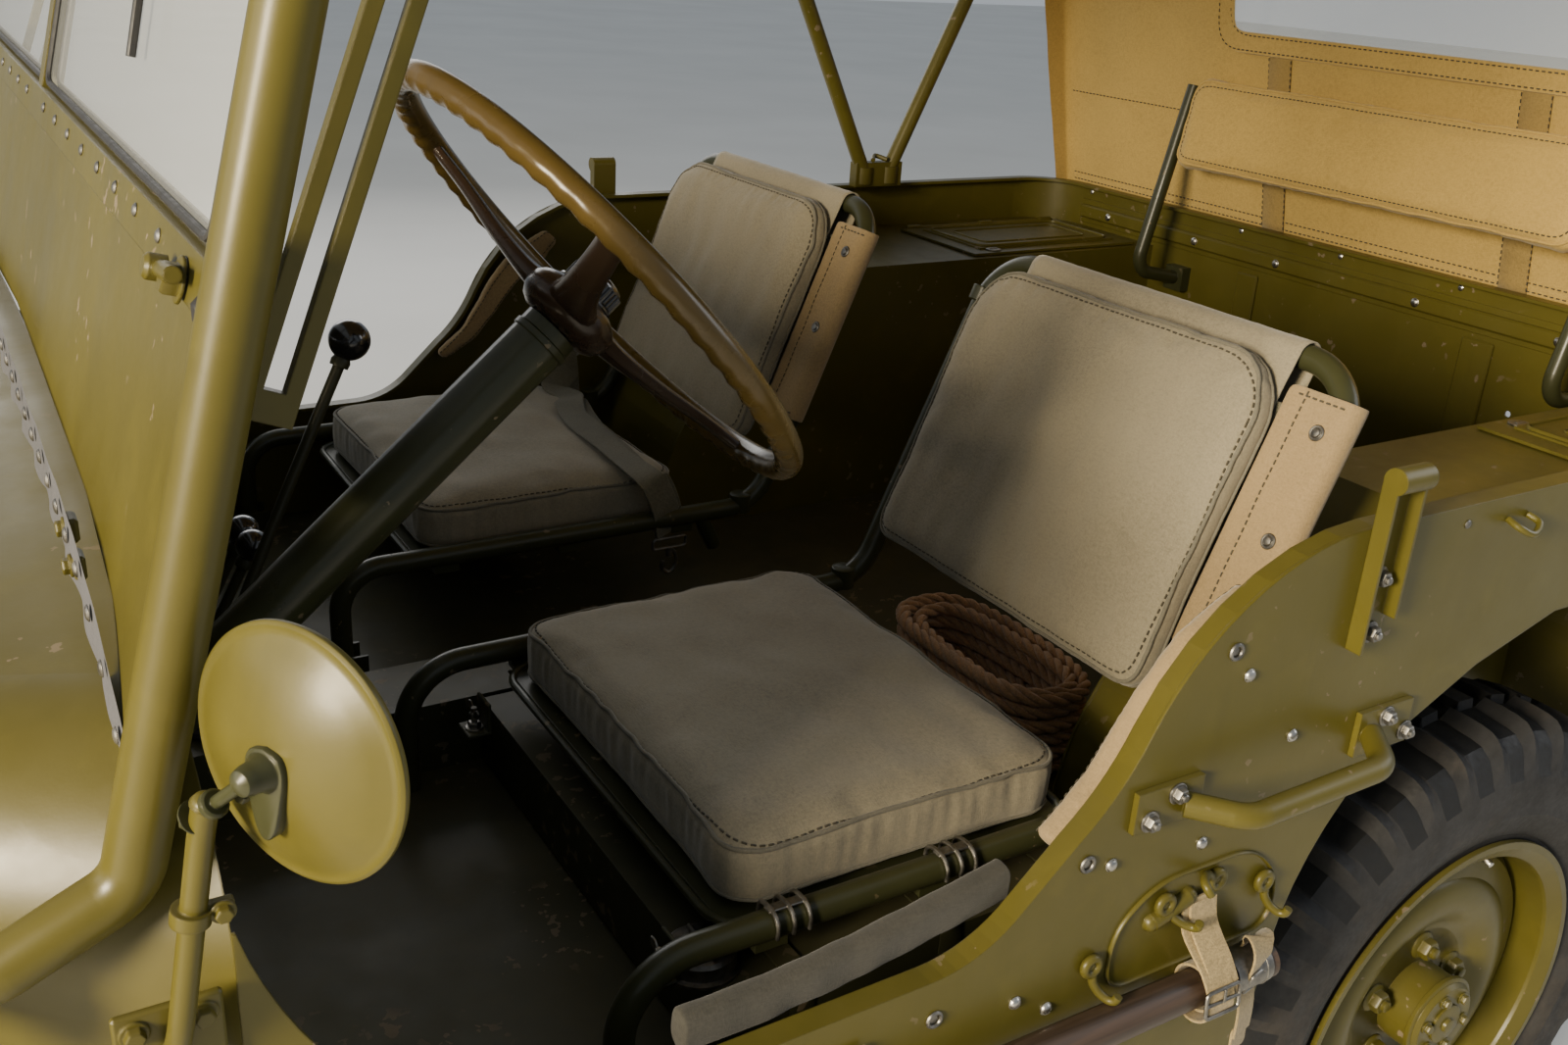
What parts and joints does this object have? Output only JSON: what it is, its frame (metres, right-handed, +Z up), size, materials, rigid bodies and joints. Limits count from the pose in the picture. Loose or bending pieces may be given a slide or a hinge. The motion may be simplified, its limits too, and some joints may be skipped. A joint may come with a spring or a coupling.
{
  "type": "light army 4x4 car",
  "caption": "Open light army 4x4 car with flat fenders, folding windscreen, canvas top on two bows, padded seats, steered front wheels and a spare wheel at the back",
  "frame": {"origin": "on the ground under the middle of the car's overall box", "axes": "+X forward along the car, +Y to the car's left, +Z up"},
  "size_m": [3.332, 1.6225, 1.748],
  "materials": {
    "olive_paint": "semi-gloss olive drab",
    "dark_paint": "satin dark olive",
    "cast_metal": "painted casting",
    "tyre_rubber": "matt black tyre",
    "canvas": "woven khaki canvas",
    "seat_canvas": "woven canvas over padding",
    "glass_pane": "clear flat glass",
    "black_plastic": "black moulded",
    "wheel_brown": "dark moulded rim",
    "dark_wood": "oiled ash handle",
    "rope_fibre": "laid natural fibre rope",
    "webbing": "woven webbing",
    "lamp_glass": "lamp lens"
  },
  "bodies": {
    "car_body": {"chassis_frame": "dark_paint", "leaf_springs": "dark_paint", "rear_axle": "cast_metal", "front_axle": "cast_metal", "spare_wheel": "olive_paint", "spare_tyre": "tyre_rubber", "engine_block": "cast_metal", "radiator": "dark_paint", "prop_shafts": "dark_paint", "exhaust": "dark_paint", "fuel_tank": "olive_paint", "body_tub": "olive_paint", "floor_pan": "olive_paint", "cowl": "olive_paint", "grille": "olive_paint", "headlamps": "olive_paint", "front_fenders": "olive_paint", "front_bumper": "olive_paint", "rear_bumperettes": "olive_paint", "tow_hook": "dark_paint", "steering_column": "olive_paint", "driver_controls": "black_plastic", "driver_seat_frame": "olive_paint", "driver_cushions": "seat_canvas", "seat_brackets": "olive_paint", "rear_back_cushion": "seat_canvas", "hip_pads": "seat_canvas", "top_bows": "olive_paint", "canvas_top": "canvas", "grab_handles": "olive_paint", "side_mirror": "olive_paint", "side_tools": "dark_wood", "rope_coil": "rope_fibre"},
    "knuckle_left": {"steering_knuckle_left": "cast_metal"},
    "knuckle_right": {"steering_knuckle_right": "cast_metal"},
    "track_rod": {"tie_rod": "dark_paint"},
    "road_wheel_front_left": {"wheel_front_left": "olive_paint", "tyre_front_left": "tyre_rubber"},
    "road_wheel_front_right": {"wheel_front_right": "olive_paint", "tyre_front_right": "tyre_rubber"},
    "road_wheel_rear_left": {"wheel_rear_left": "olive_paint", "tyre_rear_left": "tyre_rubber"},
    "road_wheel_rear_right": {"wheel_rear_right": "olive_paint", "tyre_rear_right": "tyre_rubber"},
    "hand_wheel": {"steering_wheel": "wheel_brown"},
    "bonnet": {"hood": "olive_paint"},
    "windscreen": {"windscreen_frame": "olive_paint", "windscreen_glass": "glass_pane", "cowl_curtain": "canvas"},
    "passenger_seat": {"passenger_seat_frame": "olive_paint", "passenger_cushions": "seat_canvas", "safety_strap": "webbing"},
    "rear_seat": {"rear_seat_frame": "olive_paint", "rear_seat_cushion": "seat_canvas"},
    "left_lid": {"tool_lid_left": "olive_paint"},
    "right_lid": {"tool_lid_right": "olive_paint"}
  },
  "joints": [
    {"name": "steer_left", "type": "hinge", "parent": "car_body", "child": "knuckle_left", "pos_m": [1.136, 0.5, 0.362], "axis": [0, 0, 1], "range_deg": [-26, 26]},
    {"name": "steer_right", "type": "hinge", "parent": "car_body", "child": "knuckle_right", "pos_m": [1.136, -0.5, 0.362], "axis": [0, 0, 1], "range_deg": [-26, 26]},
    {"name": "tie_rod_pivot", "type": "hinge", "parent": "knuckle_left", "child": "track_rod", "pos_m": [0.976, 0.5, 0.437], "axis": [0, 0, 1], "range_deg": [-26, 26]},
    {"name": "steering_wheel_turn", "type": "hinge", "parent": "car_body", "child": "hand_wheel", "pos_m": [-0.044, 0.324, 1.162], "axis": [-0.7538, 0, 0.6571], "range_deg": [-364, 364]},
    {"name": "roll_front_left", "type": "hinge", "parent": "knuckle_left", "child": "road_wheel_front_left", "pos_m": [1.136, 0.626, 0.362], "axis": [0, 1, 0], "continuous": true},
    {"name": "roll_front_right", "type": "hinge", "parent": "knuckle_right", "child": "road_wheel_front_right", "pos_m": [1.136, -0.626, 0.362], "axis": [0, 1, 0], "continuous": true},
    {"name": "roll_rear_left", "type": "hinge", "parent": "car_body", "child": "road_wheel_rear_left", "pos_m": [-0.896, 0.626, 0.362], "axis": [0, 1, 0], "continuous": true},
    {"name": "roll_rear_right", "type": "hinge", "parent": "car_body", "child": "road_wheel_rear_right", "pos_m": [-0.896, -0.626, 0.362], "axis": [0, 1, 0], "continuous": true},
    {"name": "hood_hinge", "type": "hinge", "parent": "car_body", "child": "bonnet", "pos_m": [0.547, 0, 1.034], "axis": [0, 1, 0], "range_deg": [-100, 0]},
    {"name": "windscreen_fold", "type": "hinge", "parent": "car_body", "child": "windscreen", "pos_m": [0.504, 0, 0.915], "axis": [0, 1, 0], "range_deg": [0, 96]},
    {"name": "passenger_seat_tilt", "type": "hinge", "parent": "car_body", "child": "passenger_seat", "pos_m": [0.05, -0.4345, 0.593], "axis": [0, 1, 0], "range_deg": [0, 60]},
    {"name": "rear_seat_fold", "type": "hinge", "parent": "car_body", "child": "rear_seat", "pos_m": [-1.366, 0, 0.707], "axis": [0, 1, 0], "range_deg": [-60, 0]},
    {"name": "tool_lid_left_hinge", "type": "hinge", "parent": "car_body", "child": "left_lid", "pos_m": [-1.252, 0.672, 0.957], "axis": [1, 0, 0], "range_deg": [-85, 0]},
    {"name": "tool_lid_right_hinge", "type": "hinge", "parent": "car_body", "child": "right_lid", "pos_m": [-1.252, -0.672, 0.957], "axis": [1, 0, 0], "range_deg": [0, 85]}
  ],
  "couplings": [
    {"joint": "steer_right", "follows": "steer_left", "ratio": 1},
    {"joint": "tie_rod_pivot", "follows": "steer_left", "ratio": -1},
    {"joint": "steering_wheel_turn", "follows": "steer_left", "ratio": 14}
  ]
}
